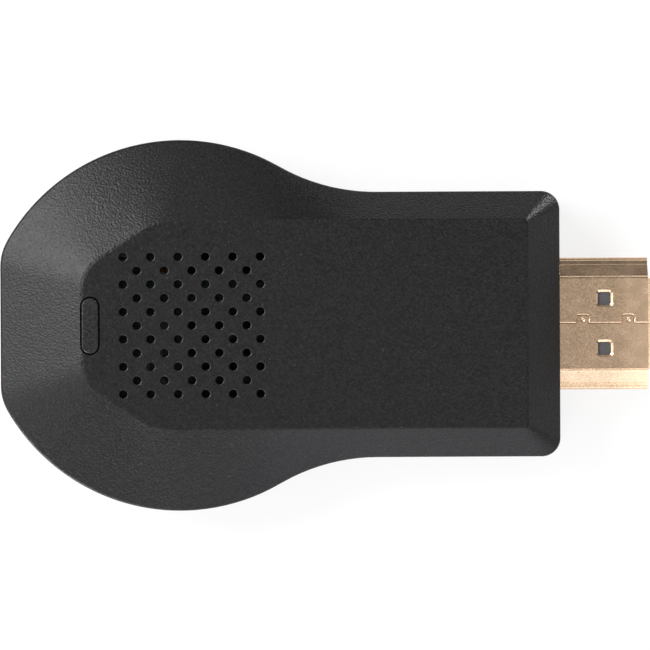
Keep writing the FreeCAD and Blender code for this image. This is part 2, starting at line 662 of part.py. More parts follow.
def plug_shell():
    """Folded sheet with a bevelled, dovetailed seam on top, latch holes, and two legs for the board."""
    body_end = CASE_LENGTH + PLUG_REACH - PLUG_LIP
    sleeve = plug_core(0, PLUG_REAR_X, body_end).cut(plug_core(PLUG_SHEET, PLUG_REAR_X - 1, body_end + 1))
    outer, inner = PLUG_WIDTH / 2, PLUG_WIDTH / 2 - PLUG_SHEET
    legs = []
    for side in (-1, 1):
        legs.append(side_block(50.9, side, inner, outer, 3.6, SPLIT_Z - 1.2, SPLIT_Z - 0.3))
        legs.append(side_block(50.4, side, inner, outer, 2.0, SPLIT_Z - 1.2, SPLIT_Z + 1.2))
    shell = sleeve.fuse(plug_lips() + legs)
    holes = [rounded_block(LATCH_HOLE_X, y, LATCH_HOLE, LATCH_HOLE, SPLIT_Z - 4, SPLIT_Z + 4, 0.25)
             for y in (-LATCH_HOLE_Y, LATCH_HOLE_Y)]
    shell = shell.cut([*holes, seam()]).removeSplitter().Solids[0]

    top = SPLIT_Z + PLUG_HEIGHT / 2
    for height in (top, 2 * SPLIT_Z - top):
        rims = [e for e in edges_at_height(shell, height)
                if 1.5 < abs(e.CenterOfMass.y) < 3.7 and abs(e.CenterOfMass.x - LATCH_HOLE_X) < 1.0]
        shell = shell.makeChamfer(*LATCH_HOLE_BEVEL, rims)
    tabbed_half = seam_outline()
    tabbed_half.translate(Vector(0, -SEAM_GAP / 2, top))
    near_seam = [e for e in edges_at_height(shell, top) if abs(e.CenterOfMass.y) < 1.2 and e.Length < 9]
    pocket_edges = [e for e in near_seam if e.distToShape(tabbed_half)[0] > SEAM_GAP / 2]
    shell = shell.makeChamfer(*SEAM_BEVEL, pocket_edges)
    return shell.cut([staking_mark(x) for x in DOVETAIL_X]).removeSplitter().Solids[0]


def staking_mark(x):
    """Round dimple that a punch leaves in the middle of a dovetail."""
    radius, depth = 0.25, 0.09
    ball = (radius ** 2 + depth ** 2) / (2 * depth)
    return Part.makeSphere(ball, Vector(x, DOVETAIL_HEIGHT * 0.42, SPLIT_Z + PLUG_HEIGHT / 2 - depth + ball))


def seam_outline():
    """Flat region of the half of the sheet that has the two dovetail tabs, up to the seam."""
    root, top = DOVETAIL_RADII
    turn = 90 + DOVETAIL_LEAN
    root_cut = root * math.tan(math.radians(turn / 2))
    top_cut = top * math.tan(math.radians(turn / 2))
    side = DOVETAIL_HEIGHT / math.cos(math.radians(DOVETAIL_LEAN))
    base = DOVETAIL_TOP - 2 * side * math.sin(math.radians(DOVETAIL_LEAN))
    x = PLUG_REAR_X - 1
    moves = []
    for middle in DOVETAIL_X:
        moves += [("line", middle - base / 2 - root_cut - x), ("arc", root, turn),
                  ("line", side - root_cut - top_cut), ("arc", top, -turn),
                  ("line", DOVETAIL_TOP - 2 * top_cut), ("arc", top, -turn),
                  ("line", side - root_cut - top_cut), ("arc", root, turn)]
        x = middle + base / 2 + root_cut
    moves.append(("line", OVERALL_LENGTH + 1 - x))
    edges = turtle((PLUG_REAR_X - 1, 0), 0, moves)
    corners = [(OVERALL_LENGTH + 1, 0), (OVERALL_LENGTH + 1, -1), (PLUG_REAR_X - 1, -1), (PLUG_REAR_X - 1, 0)]
    edges += [line(a, b) for a, b in zip(corners, corners[1:])]
    return Part.Face(Part.Wire(Part.__sortEdges__(edges)))


def seam():
    """The gap between the sheet's two halves, with two dovetails that lock them."""
    sheet = seam_outline()
    gap = sheet.makeOffset2D(SEAM_GAP).cut(sheet)
    window = block(PLUG_REAR_X - 0.5, OVERALL_LENGTH + 0.5, -0.3, 2, -0.5, 2.5)
    gap = gap.extrude(Vector(0, 0, 2)).common(window)
    gap.translate(Vector(0, -SEAM_GAP / 2, SPLIT_Z + 1.2))
    return gap


def plug_contact(y, up):
    """One spring contact: tail on the board, a step, a straight run, and a bowed tip in the slot."""
    sheet = PLUG_CONTACT_SHEET
    tail, run = BOARD_THICKNESS / 2, PLUG_SLOT_HEIGHT / 2 + 0.1
    tip_x = CASE_LENGTH + PLUG_REACH - 2.0
    inner = [(50.7, tail), (53.0, tail), (53.6, run), (tip_x - 2.6, run), (tip_x - 1.3, run - 0.35),
             (tip_x, run + 0.02)]
    outer = [(x, z + sheet) for x, z in reversed(inner)]
    points = [Vector(x, y - PLUG_CONTACT_WIDTH / 2, SPLIT_Z + up * z) for x, z in inner + outer + inner[:1]]
    return Part.Face(Part.makePolygon(points)).extrude(Vector(0, PLUG_CONTACT_WIDTH, 0))


def plug_contacts():
    """Ten contacts above the slot and nine below it, half a pitch apart."""
    upper = [plug_contact((i - 4.5) * PLUG_CONTACT_PITCH, 1) for i in range(10)]
    lower = [plug_contact((i - 4) * PLUG_CONTACT_PITCH, -1) for i in range(9)]
    return upper + lower


def plug_insulator(contacts):
    front = CASE_LENGTH + PLUG_REACH - 1.0
    body = plug_core(PLUG_SHEET + 0.04, PLUG_REAR_X + 0.1, front - 0.1)
    slot = rounded_slot_x(front - PLUG_SLOT_DEPTH, front + 1)
    grooves = []
    for contact in contacts:
        box = contact.BoundBox
        reach = math.copysign(PLUG_SLOT_HEIGHT / 2 + 0.32, contact.CenterOfMass.z - SPLIT_Z)
        low, high = sorted((SPLIT_Z, SPLIT_Z + reach))
        left, right = box.YMin - 0.04, box.YMax + 0.04
        grooves.append(block(front - PLUG_SLOT_DEPTH, front - 0.6, left, right, low, high))
    return body.cut([slot, *grooves, *contacts]).Solids[0]


def rounded_slot_x(x0, x1):
    """The slot in the insulator that takes the socket's blade."""
    slot = block(x0, x1, -PLUG_SLOT_WIDTH / 2, PLUG_SLOT_WIDTH / 2, SPLIT_Z - PLUG_SLOT_HEIGHT / 2,
                 SPLIT_Z + PLUG_SLOT_HEIGHT / 2)
    along = [e for e in slot.Edges if abs(e.tangentAt(e.FirstParameter).x) > 0.99]
    return slot.makeFillet(0.2, along)


# ---------------------------------------------------------------- power socket

def socket_outline(grow):
    """Section of the power socket's shell: wide against the board, its lower corners cut off."""
    top, low = BOARD_Z + min(grow, 0), BOARD_Z - SOCKET_HEIGHT - grow
    half = SOCKET_HALF_WIDTH + grow
    knee = BOARD_Z - SOCKET_HEIGHT * 0.55
    points = [(-half, top), (-half, knee), (-half + 1.0, low), (half - 1.0, low), (half, knee), (half, top),
              (-half, top)]
    return points


def socket_prism(grow, x0, x1):
    wire = Part.makePolygon([Vector(x0, y, z) for y, z in socket_outline(grow)])
    return Part.Face(wire).extrude(Vector(x1 - x0, 0, 0))


def socket_shell():
    front, rear = SOCKET_FRONT_X, SOCKET_FRONT_X + SOCKET_DEPTH
    flare_end = front + 0.5
    outer = socket_prism(0, flare_end, rear)
    inner = socket_prism(-SOCKET_SHEET, flare_end - 0.1, rear - SOCKET_SHEET)

    def flare(grow):
        mouth = [Vector(front, y, z) for y, z in socket_outline(grow + SOCKET_FLARE)]
        throat = [Vector(flare_end, y, z) for y, z in socket_outline(grow)]
        return Part.makeLoft([Part.makePolygon(mouth), Part.makePolygon(throat)], True, True)

    shell = outer.cut(inner).fuse(flare(0).cut(flare(-SOCKET_SHEET)))
    half, low = SOCKET_HALF_WIDTH, BOARD_Z - SOCKET_HEIGHT
    lugs = [side_block(x, side, half - 0.1, half + 0.7, 1.0, BOARD_Z - SOCKET_SHEET, BOARD_Z)
            for x in (2.6, 4.7) for side in (-1, 1)]
    springs = [rounded_block(2.4, y, 2.0, 0.5, low - 1, low + 0.4, 0.2) for y in (-1.7, 1.7)]
    return shell.fuse(lugs).cut(springs).removeSplitter().Solids[0]


def socket_tongue():
    rear = SOCKET_FRONT_X + SOCKET_DEPTH - SOCKET_SHEET
    back = socket_prism(-SOCKET_SHEET - 0.02, rear - 1.2, rear - 0.02)
    middle = BOARD_Z - SOCKET_HEIGHT / 2
    blade = block(SOCKET_FRONT_X + 0.9, rear - 1.0, -1.85, 1.85, middle - 0.05, middle + 0.5)
    return back.fuse(blade).cut(socket_contacts()).removeSplitter().Solids[0]


def socket_contacts():
    """Five strips under the blade, running down to the board behind the shell."""
    low = BOARD_Z - SOCKET_HEIGHT / 2 - 0.15
    front, rear = SOCKET_FRONT_X + 1.1, SOCKET_FRONT_X + SOCKET_DEPTH - SOCKET_SHEET - 0.1
    middles = [(i - 2) * SOCKET_CONTACT_PITCH for i in range(5)]
    return [block(front, rear, y - 0.13, y + 0.13, low, low + 0.1) for y in middles]


# ---------------------------------------------------------------- push switch

def switch_base():
    base = centred_block(BUTTON_X, 0, SWITCH_WIDTH, SWITCH_LENGTH, BOARD_TOP, BOARD_TOP + SWITCH_BASE_HEIGHT)
    well = post(BUTTON_X, 0, SWITCH_WELL_FLOOR, CASE_HEIGHT, SWITCH_WELL_RADIUS)
    notches = [centred_block(BUTTON_X + dx, dy, 0.7, 0.8, BOARD_TOP - 1, BOARD_TOP + 0.35)
               for dx in (-1.1, 1.1) for dy in (-SWITCH_LENGTH / 2, SWITCH_LENGTH / 2)]
    return base.cut([well, *notches]).Solids[0]


def switch_frame():
    """Stamped cover with a hole for the plunger and two folded sides."""
    low = BOARD_TOP + SWITCH_BASE_HEIGHT
    sheet = SWITCH_FRAME_SHEET
    plate = centred_block(BUTTON_X, 0, SWITCH_WIDTH + 2 * sheet, SWITCH_LENGTH - 0.6, low, low + sheet)
    sides = [block(x, x + sheet, -1.6, 1.6, BOARD_TOP + 0.3, low + sheet)
             for x in (BUTTON_X - SWITCH_WIDTH / 2 - sheet, BUTTON_X + SWITCH_WIDTH / 2)]
    frame = plate.fuse(sides).cut(post(BUTTON_X, 0, low - 1, low + 1, PLUNGER_RADIUS + 0.08))
    return frame.removeSplitter().Solids[0]


def dome_cap(radius, height):
    """Part of a ball with a base of this radius and this height, standing on z = 0."""
    ball = (radius ** 2 + height ** 2) / (2 * height)
    sphere = Part.makeSphere(ball, Vector(0, 0, height - ball))
    return sphere.common(Part.makeBox(4 * ball, 4 * ball, height, Vector(-2 * ball, -2 * ball, 0)))


def switch_dome():
    radius = SWITCH_WELL_RADIUS - 0.1
    dome = dome_cap(radius, SWITCH_DOME_HEIGHT).cut(
        dome_cap(radius - 1.5 * SWITCH_DOME_SHEET, SWITCH_DOME_HEIGHT - SWITCH_DOME_SHEET))
    dome.translate(Vector(BUTTON_X, 0, SWITCH_WELL_FLOOR))
    return dome.Solids[0]


def switch_plunger():
    foot = SWITCH_WELL_FLOOR + SWITCH_DOME_HEIGHT + 0.01
    collar_top = BOARD_TOP + SWITCH_BASE_HEIGHT - 0.02
    body = post(BUTTON_X, 0, foot, PLUNGER_TOP, PLUNGER_RADIUS)
    body = body.makeChamfer(0.12, edges_at_height(body, PLUNGER_TOP))
    collar = post(BUTTON_X, 0, foot, collar_top, SWITCH_WELL_RADIUS - 0.12)
    return body.fuse(collar).removeSplitter().Solids[0]


def switch_terminals():
    legs = []
    for dx in (-1.1, 1.1):
        for side in (-1, 1):
            legs.append(side_block(BUTTON_X + dx, side, SWITCH_LENGTH / 2 - 0.3, SWITCH_LENGTH / 2 + 0.8, 0.6,
                                   BOARD_TOP, BOARD_TOP + 0.2))
    return legs


# ---------------------------------------------------------------- chips

def moulded_chip(x, y, length, width, z0, z1):
    """Chip body with its top edges cut back and a round mark in one corner."""
    body = centred_block(x, y, length, width, z0, z1)
    body = body.makeChamfer(0.12, edges_at_height(body, z1))
    return body.cut(post(x - length / 2 + 1.0, y - width / 2 + 1.0, z1 - 0.06, z1 + 1, 0.35))


def heat_sink():
    low = BOARD_TOP + SOC_HEIGHT + PAD_HEIGHT
    base = centred_block(SOC_X, SOC_Y, SOC_SIDE, SOC_SIDE, low, low + SINK_BASE)
    step = (SOC_SIDE - SINK_FIN_THICKNESS) / (SINK_FIN_COUNT - 1)
    fins = [centred_block(SOC_X, SOC_Y - SOC_SIDE / 2 + SINK_FIN_THICKNESS / 2 + i * step, SOC_SIDE,
                          SINK_FIN_THICKNESS, low + SINK_BASE - 0.1, low + SINK_BASE + SINK_FIN_HEIGHT)
            for i in range(SINK_FIN_COUNT)]
    return base.fuse(fins).removeSplitter().Solids[0]


def gull_leads(x, y, body_width, pitch, count, reach, z0, height, width, sheet, up=1):
    """Rows of bent leads on both long sides of a chip: out of the body, down, and a foot on the board."""
    leads = []
    for side in (-1, 1):
        inner, outer = y + side * body_width / 2, y + side * (body_width / 2 + reach)
        knee = inner + side * reach * 0.45
        near, top = knee - side * sheet, height + sheet
        shape = [(inner, height), (near, height), (near, 0), (outer, 0), (outer, sheet), (knee, sheet),
                 (knee, top), (inner, top), (inner, height)]
        for i in range(count):
            x0 = x + (i - (count - 1) / 2) * pitch - width / 2
            points = [Vector(x0, py, z0 + up * pz) for py, pz in shape]
            leads.append(Part.Face(Part.makePolygon(points)).extrude(Vector(width, 0, 0)))
    return leads


def shield_can():
    """Drawn cover over the radio module, open below, with rounded edges and a dimpled corner."""
    x, y, side = RADIO_X, RADIO_Y, RADIO_SIDE - 0.6
    low, high = BOARD_TOP + RADIO_BOARD, BOARD_TOP + RADIO_BOARD + 1.5
    can = rounded_block(x, y, side, side, low, high, 0.6)
    can = can.makeFillet(0.25, edges_at_height(can, high))
    hollow = rounded_block(x, y, side - 0.3, side - 0.3, low - 1, high - 0.15, 0.45)
    gates = [centred_block(x + dx, y, 1.2, side + 2, low - 1, low + 0.3) for dx in (-4, 0, 4)]
    return can.cut([hollow, *gates]).Solids[0]


# ---------------------------------------------------------------- small two-ended parts

def chip_part(x, y, length, width, height, turned=False, z0=BOARD_TOP, up=1):
    """(body, two metal ends) of a surface-mounted part lying along x, or along y if turned."""
    cap = length * 0.2
    half = length / 2
    spans = [(-half + cap, half - cap), (-half, -half + cap), (half - cap, half)]
    low, high = sorted((z0, z0 + up * height))
    pieces = []
    for a, b in spans:
        if turned:
            pieces.append(block(x - width / 2, x + width / 2, y + a, y + b, low, high))
        else:
            pieces.append(block(x + a, x + b, y - width / 2, y + width / 2, low, high))
    return pieces[0], pieces[1:]


def small_parts():
    """Every capacitor and resistor, by node, with the metal ends of all of them together."""
    bodies = {"ceramic_capacitors": [], "chip_resistors": [], "tantalum_capacitors": []}
    ends = []

    def add(kind, *place, **more):
        body, caps = chip_part(*place, **more)
        bodies[kind].append(body)
        ends.extend(caps)

    # Ceramic capacitors: between the switch and the processor, then a row along two of its sides
    for x, y in ((14.4, 5.8), (14.4, 3.4), (14.6, -4.3), (16.2, -6.2), (16.0, -2.7)):
        add("ceramic_capacitors", x, y, 2.0, 1.25, 1.0)
    for step in (-4.6, -2.3, 0.0, 2.3, 4.6):
        add("ceramic_capacitors", SOC_X + step, SOC_Y + SOC_SIDE / 2 + 0.95, 1.0, 0.5, 0.5)
        add("ceramic_capacitors", SOC_X + SOC_SIDE / 2 + 0.9, SOC_Y + step, 1.0, 0.5, 0.5, turned=True)
    # Tantalum capacitors beside the processor and, below, at the power input
    add("tantalum_capacitors", 17.2, 6.5, 3.2, 1.6, 1.5, turned=True)
    for y in (-6.2, 6.2):
        add("tantalum_capacitors", 9.6, y, 3.5, 2.8, 1.7, turned=True, z0=BOARD_Z, up=-1)
    # Resistors: a row in front of the plug's contacts, and four beside the flash
    for i in range(8):
        add("chip_resistors", 49.3, (i - 3.5) * 1.15, 1.0, 0.5, 0.4)
    for i in range(4):
        add("chip_resistors", 43.6, -4.6 - i * 1.1, 1.0, 0.5, 0.4)
    for i in range(4):
        add("ceramic_capacitors", 14.0 + i * 5.2, 0.0, 1.6, 0.8, 0.8, z0=BOARD_Z, up=-1)
    return bodies, ends


def inductor(x, y, side, height):
    """Shielded power inductor under the board, with its two solder pads as a step at each end."""
    body = rounded_block(x, y, side, side, BOARD_Z - height, BOARD_Z - 0.25, 0.5)
    foot = centred_block(x, y, side - 1.6, side, BOARD_Z - 0.25, BOARD_Z)
    return body.fuse(foot).removeSplitter().Solids[0]


def inductor_pads(x, y, side):
    offset = side / 2 - 0.4
    return [centred_block(x + dx, y, 0.8, side - 0.8, BOARD_Z - 0.25, BOARD_Z) for dx in (-offset, offset)]


# ---------------------------------------------------------------- the whole object

def main():
    os.makedirs("parts", exist_ok=True)
    save("top_cover", top_cover())
    save("bottom_cover", bottom_cover())
    save("mode_button", mode_button())
    save("main_board", main_board())
    save("board_screws", *[board_screw(x, y) for x, y in SCREW_SPOTS])

    contacts = plug_contacts()
    save("video_plug_shell", plug_shell())
    save("video_plug_insulator", plug_insulator(contacts))
    save("video_plug_contacts", *contacts)

    save("power_socket_shell", socket_shell())
    save("power_socket_tongue", socket_tongue())
    save("power_socket_contacts", *socket_contacts())

    save("switch_base", switch_base())
    save("switch_frame", switch_frame())
    save("switch_dome", switch_dome())
    save("switch_plunger", switch_plunger())
    save("switch_terminals", *switch_terminals())

    soc_top = BOARD_TOP + SOC_HEIGHT
    save("processor", moulded_chip(SOC_X, SOC_Y, SOC_SIDE, SOC_SIDE, BOARD_TOP, soc_top))
    pad_side = SOC_SIDE - 0.6
    save("thermal_pad", centred_block(SOC_X, SOC_Y, pad_side, pad_side, soc_top, soc_top + PAD_HEIGHT))
    save("heat_sink", heat_sink())
    save("memory_chip", moulded_chip(24.6, 8.9, 11.0, 8.0, BOARD_TOP, BOARD_TOP + 1.0))
    save("flash_chip", moulded_chip(38.2, -6.9, 5.2, 3.9, BOARD_TOP + 0.1, BOARD_TOP + 1.5))
    save("flash_chip_leads", *gull_leads(38.2, -6.9, 3.9, 1.27, 4, 1.0, BOARD_TOP, 0.75, 0.4, 0.2))

    radio_top = BOARD_TOP + RADIO_BOARD
    save("radio_board", centred_block(RADIO_X, RADIO_Y, RADIO_SIDE, RADIO_SIDE, BOARD_TOP, radio_top))
    save("radio_shield", shield_can())
    save("chip_antenna", centred_block(35.6, 10.6, 3.2, 1.6, BOARD_TOP, BOARD_TOP + 1.2))
    crystal = rounded_block(17.1, 0.1, 2.5, 3.2, BOARD_TOP, BOARD_TOP + 0.8, 0.3)
    save("crystal_can", crystal.makeFillet(0.12, edges_at_height(crystal, BOARD_TOP + 0.8)))

    save("power_inductors", *[inductor(*place) for place in INDUCTORS])
    save("inductor_pads", *[pad for x, y, side, _ in INDUCTORS for pad in inductor_pads(x, y, side)])
    regulators = [centred_block(x, y, 2.9, 1.6, BOARD_Z - 1.1, BOARD_Z - 0.1) for x, y in REGULATORS]
    save("voltage_regulators", *regulators)
    leads = [lead for x, y in REGULATORS
             for lead in gull_leads(x, y, 1.6, 0.95, 3, 0.6, BOARD_Z, 0.5, 0.4, 0.12, up=-1)]
    save("regulator_leads", *leads)

    bodies, ends = small_parts()
    for node, solids in bodies.items():
        save(node, *solids)
    save("small_part_ends", *ends)
    save("status_light", centred_block(13.0, 7.6, 1.6, 0.8, BOARD_TOP, BOARD_TOP + 0.6))
    save("surge_arrays", *[centred_block(47.6, y, 1.0, 2.5, BOARD_TOP, BOARD_TOP + 0.5) for y in (-2.6, 2.6)])


main()
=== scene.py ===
"""Streaming media player: materials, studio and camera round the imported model."""
import json
import math

import bpy
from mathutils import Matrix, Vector


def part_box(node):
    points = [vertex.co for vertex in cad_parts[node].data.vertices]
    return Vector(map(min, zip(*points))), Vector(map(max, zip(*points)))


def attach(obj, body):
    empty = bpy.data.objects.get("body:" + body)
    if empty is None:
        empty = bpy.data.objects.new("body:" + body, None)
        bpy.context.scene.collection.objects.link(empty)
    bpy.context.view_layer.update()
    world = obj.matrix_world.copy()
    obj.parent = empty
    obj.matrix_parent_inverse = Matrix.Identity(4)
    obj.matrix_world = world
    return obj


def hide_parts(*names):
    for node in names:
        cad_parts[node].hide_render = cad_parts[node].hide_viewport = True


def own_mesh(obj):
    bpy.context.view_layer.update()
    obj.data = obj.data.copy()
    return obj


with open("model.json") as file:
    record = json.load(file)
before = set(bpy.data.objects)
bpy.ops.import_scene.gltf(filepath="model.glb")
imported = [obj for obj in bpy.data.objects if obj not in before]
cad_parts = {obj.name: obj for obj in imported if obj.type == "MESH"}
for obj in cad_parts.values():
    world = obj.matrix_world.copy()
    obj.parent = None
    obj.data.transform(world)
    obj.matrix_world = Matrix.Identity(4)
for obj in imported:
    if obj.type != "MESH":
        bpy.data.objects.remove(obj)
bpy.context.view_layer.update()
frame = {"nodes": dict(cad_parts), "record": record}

MM = 0.001
MICRON = 0.001 * MM

# ---------------------------------------------------------------- studio

CAMERA_PLACE = (-0.40, -0.033, 433.0)    # mm, straight above the object
CAMERA_TURN = -0.28                     # degrees
CAMERA_LENS = 224.0                     # mm
CAMERA_SENSOR = 36.0                    # mm
CAMERA_CLIP = (0.01, 20)                # m

FLOOR_SIDE = 6.0                        # m
FLOOR_DROP = 0.02 * MM                  # clear of the underside, so that the two faces don't coincide
FLOOR_COLOUR = (0.225, 0.225, 0.225)
FLOOR_ROUGHNESS = 0.9
FLOOR_SPECULAR = 0.1
FLOOR_GLOW = (0.80, 0.42)               # near and far: it is lit from below, so shadows on it are faint
FLOOR_FADE = (0.050, 0.160)             # m from the middle, where the near glow ends and the far one starts
WORLD_LIGHT = (0.12, 0.12, 0.12)

WHITE = (1.0, 1.0, 1.0)
COOL = (0.95, 1.0, 1.08)
# Fourteen strengths come from a least-squares fit by another script: eight of them rounded, and six (key,
# low_front, low_right, plug_side, plug_high, overhead) then changed by hand. The other two, plug_front and
# corner_glint, were set one by one, and so was every lamp's place and size.
# name, azimuth from +X, elevation, distance (m), width (m), height (m), strength, colour
SOFTBOXES = (
    ("key", 150, 46, 0.60, 0.30, 0.24, 12.4, WHITE),
    ("key_rear", 190, 46, 0.60, 0.30, 0.24, 2.6, WHITE),
    ("key_side", 110, 46, 0.60, 0.30, 0.24, 0.35, WHITE),
    ("side", 80, 46, 0.60, 0.30, 0.24, 0.87, WHITE),
    ("low_rear", 225, 8, 0.60, 0.36, 0.14, 21.5, WHITE),
    ("front_left", 248, 26, 0.60, 0.30, 0.20, 3.0, WHITE),
    ("low_front", 270, 8, 0.60, 0.36, 0.14, 1.7, COOL),
    ("front", 270, 46, 0.60, 0.30, 0.24, 1.1, WHITE),
    ("front_right", 292, 26, 0.60, 0.34, 0.22, 2.4, COOL),
    ("low_right", 315, 8, 0.60, 0.36, 0.14, 1.6, WHITE),
    ("front_high", 270, 68, 0.60, 0.26, 0.18, 0.9, WHITE),
    ("plug_side", 0, 8, 0.60, 0.36, 0.14, 1.0, WHITE),
    ("plug_front", 0, 36, 0.60, 0.28, 0.20, 1.3, WHITE),
    ("plug_high", 330, 66, 0.60, 0.26, 0.22, 2.2, WHITE),
    ("overhead", 0, 90, 0.80, 0.30, 0.30, 0.30, WHITE),
    ("corner_glint", 47, 4, 0.50, 0.05, 0.05, 120.0, WHITE),
)


def make_camera():
    data = bpy.data.cameras.new("camera")
    data.lens, data.sensor_width = CAMERA_LENS, CAMERA_SENSOR
    data.clip_start, data.clip_end = CAMERA_CLIP
    camera = bpy.data.objects.new("camera", data)
    camera.location = Vector(CAMERA_PLACE) * MM
    camera.rotation_euler = (0, 0, math.radians(CAMERA_TURN))
    bpy.context.collection.objects.link(camera)
    bpy.context.scene.camera = camera


def make_softbox(name, azimuth, elevation, distance, width, height, strength, colour):
    """Rectangular lamp that faces the object; strength is its brightness as seen in a mirror."""
    data = bpy.data.lights.new(name, "AREA")
    data.shape = "RECTANGLE"
    data.size, data.size_y = width, height
    data.color = colour
    data.energy = strength * width * height * math.pi
    lamp = bpy.data.objects.new(name, data)
    around, up = math.radians(azimuth), math.radians(elevation)
    way = Vector((math.cos(around) * math.cos(up), math.sin(around) * math.cos(up), math.sin(up)))
    lamp.location = way * distance
    lamp.rotation_euler = way.to_track_quat("Z", "Y").to_euler()
    lamp.visible_camera = False
    bpy.context.collection.objects.link(lamp)


def make_world():
    world = bpy.data.worlds.new("studio")
    world.use_nodes = True
    world.node_tree.nodes["Background"].inputs["Color"].default_value = (*WORLD_LIGHT, 1)
    world.node_tree.nodes["Background"].inputs["Strength"].default_value = 1.0
    bpy.context.scene.world = world


def make_floor():
    """Plain pale floor that glows evenly round the object, and a little less far away."""
    mesh = bpy.data.meshes.new("floor")
    half = FLOOR_SIDE / 2
    corners = [(-half, -half, 0), (half, -half, 0), (half, half, 0), (-half, half, 0)]
    mesh.from_pydata(corners, [], [(0, 1, 2, 3)])
    floor = bpy.data.objects.new("floor", mesh)
    floor.location.z = -FLOOR_DROP
    bpy.context.collection.objects.link(floor)
    finish = Finish("floor", FLOOR_COLOUR, FLOOR_ROUGHNESS, specular=FLOOR_SPECULAR)
    finish.shader.inputs["Emission Color"].default_value = (*WHITE, 1)
    reach = finish.tree.nodes.new("ShaderNodeVectorMath")
    reach.operation = "LENGTH"
    finish.link(finish.place, reach.inputs["Vector"])
    glow = finish.ranged(reach.outputs["Value"], *FLOOR_GLOW, *FLOOR_FADE)
    glow.node.interpolation_type = "SMOOTHSTEP"
    finish.link(glow, finish.shader.inputs["Emission Strength"])
    mesh.materials.append(finish.material)


# ---------------------------------------------------------------- materials

# Sizes of grain are in mm, and reliefs in micrometres.
GRAIN_RANGE = (0.34, 0.66)              # the part of a noise that goes from one colour to the other
CLOUD_GRAIN = 1.4

# Grain colours of the black plastic: the hollow colour is painted shade in the grain's hollows, and the
# crest colours are a painted highlight on its crests.
MOULD_SHADED_HOLLOW = (0.0008, 0.0007, 0.0008)
MOULD_LIT_CREST = (0.0105, 0.0092, 0.0108)
BUTTON_LIT_CREST = (0.0220, 0.0195, 0.0215)
MOULD_GRAIN = 0.22
MOULD_CLOUD = 0.9
MOULD_RELIEF = 45
MOULD_ROUGHNESS = (0.37, 0.41)
MOULD_SPECULAR = 0.35
DUST_SPACING = 0.34
DUST_RANGE = (0.82, 0.86)
DUST_COLOUR = (0.032, 0.032, 0.032)

MOTTLE_GRAIN = 0.18
MOTTLE_SHADE = 0.78
MOTTLE_RELIEF = 4
ROLLING_GRAIN = 0.16
ROLLING_RELIEF = 2
TIP_LIGHTEN_REACH = (5, 1)                   # mm back from the tip, where the lightening starts and where it is full
TIP_LIGHTEN_SHARE = 0.75
TIP_LIGHTEN_FACTOR = 1.22

PLASTIC_GRAIN = 0.08
PLASTIC_RELIEF = 4
TRACE_PITCH = 6
TRACE_WANDER = 14.0
TRACE_RANGE = (0.62, 0.7)
TRACE_RELIEF = 20


def shaded(colour, factor, lift=0.0):
    """The colour times a factor, plus a lift, and at most 1 in each channel."""
    return tuple(min(c * factor + lift, 1) for c in colour)


class Finish:
    """A principled material whose colour, roughness and bump come from noise in the object's own space."""

    def __init__(self, name, colour, roughness, metallic=0.0, specular=0.5):
        self.material = bpy.data.materials.new(name)
        self.material.use_nodes = True
        self.tree = self.material.node_tree
        self.shader = self.tree.nodes["Principled BSDF"]
        self.colour = colour
        self.shader.inputs["Base Color"].default_value = (*colour, 1)
        self.shader.inputs["Roughness"].default_value = roughness
        self.shader.inputs["Metallic"].default_value = metallic
        self.shader.inputs["Specular IOR Level"].default_value = specular
        self.place = self.tree.nodes.new("ShaderNodeTexCoord").outputs["Object"]
        self.normal = None

    def link(self, a, b):
        self.tree.links.new(a, b)

    def noise(self, grain_mm, detail=2.0, stretch=(1, 1, 1)):
        """Noise whose features are about grain_mm across, drawn out by stretch."""
        source = self.place
        if stretch != (1, 1, 1):
            mapping = self.tree.nodes.new("ShaderNodeMapping")
            mapping.inputs["Scale"].default_value = tuple(1 / s for s in stretch)
            self.link(source, mapping.inputs["Vector"])
            source = mapping.outputs["Vector"]
        texture = self.tree.nodes.new("ShaderNodeTexNoise")
        texture.inputs["Scale"].default_value = 1 / (grain_mm * MM)
        texture.inputs["Detail"].default_value = detail
        self.link(source, texture.inputs["Vector"])
        return texture.outputs["Fac"]

    def ranged(self, value, low, high, start=0.3, end=0.7):
        """Maps start..end to low..high; without a start and end, the middle of a noise."""
        node = self.tree.nodes.new("ShaderNodeMapRange")
        for key, number in (("From Min", start), ("From Max", end), ("To Min", low), ("To Max", high)):
            node.inputs[key].default_value = number
        self.link(value, node.inputs["Value"])
        return node.outputs["Result"]

    def vary_colour(self, value, other):
        """Mixes towards another colour by a noise; a second call mixes on top of the first."""
        mix = self.tree.nodes.new("ShaderNodeMix")
        mix.data_type = "RGBA"
        socket = self.shader.inputs["Base Color"]
        if socket.links:
            self.link(socket.links[0].from_socket, mix.inputs["A"])
        else:
            mix.inputs["A"].default_value = (*self.colour, 1)
        mix.inputs["B"].default_value = (*other, 1)
        self.link(value, mix.inputs["Factor"])
        self.link(mix.outputs["Result"], socket)
        return self

    def vary_roughness(self, value, low, high):
        self.link(self.ranged(value, low, high), self.shader.inputs["Roughness"])
        return self

    def bump(self, value, height_um):
        """Relief of about height_um micrometres; calls add up."""
        node = self.tree.nodes.new("ShaderNodeBump")
        node.inputs["Distance"].default_value = height_um * MICRON
        node.inputs["Strength"].default_value = 1.0
        self.link(value, node.inputs["Height"])
        if self.normal:
            self.link(self.normal, node.inputs["Normal"])
        self.normal = node.outputs["Normal"]
        self.link(self.normal, self.shader.inputs["Normal"])
        return self


